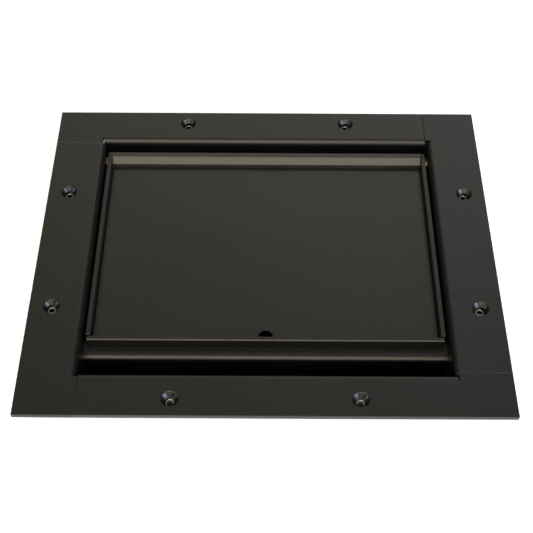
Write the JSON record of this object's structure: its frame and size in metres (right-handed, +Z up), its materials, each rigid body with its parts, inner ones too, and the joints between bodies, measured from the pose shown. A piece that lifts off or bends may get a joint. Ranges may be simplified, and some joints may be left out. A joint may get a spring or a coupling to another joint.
{
  "type": "deck hatch",
  "caption": "Flush rectangular deck hatch: flanged steel frame with a recessed tray lid that swings up on rear pivots, leaving a cable slot in front.",
  "frame": {"origin": "centre of the rectangle that the throat walls stand on, at their bottom edge", "axes": "+X along the hatch's width to the right as seen from the cable slot, +Y from the cable slot to the hinge side, +Z up, out of the deck"},
  "size_m": [0.3048, 0.254, 0.0381],
  "materials": {
    "black_steel": "fine-textured semi-gloss black powder coat",
    "brass": "turned, slightly dulled",
    "zinc_steel": "bright zinc plating",
    "rubber": "matt moulded"
  },
  "bodies": {
    "frame": {"frame_rail_back": "black_steel", "frame_rail_right": "black_steel", "frame_rail_front": "black_steel", "frame_rail_left": "black_steel", "corner_weld_back": "black_steel", "corner_weld_right": "black_steel", "corner_weld_front": "black_steel", "corner_weld_left": "black_steel", "rest_bracket_left": "black_steel", "rest_pad_left": "rubber", "pivot_bush_left": "brass", "rest_bracket_right": "black_steel", "rest_pad_right": "rubber", "pivot_bush_right": "brass"},
    "lid": {"lid_plate": "black_steel", "lid_side_left": "black_steel", "lid_side_right": "black_steel", "lid_front_rim": "black_steel", "lid_hinge_bar": "black_steel", "pivot_screw_left": "zinc_steel", "pivot_screw_right": "zinc_steel", "thrust_washer_left": "zinc_steel", "thrust_washer_right": "zinc_steel"}
  },
  "joints": [
    {"name": "lid_hinge", "type": "hinge", "parent": "frame", "child": "lid", "pos_m": [0, 0.0885, 0.0246], "axis": [-1, 0, 0], "range_deg": [0, 100]}
  ]
}
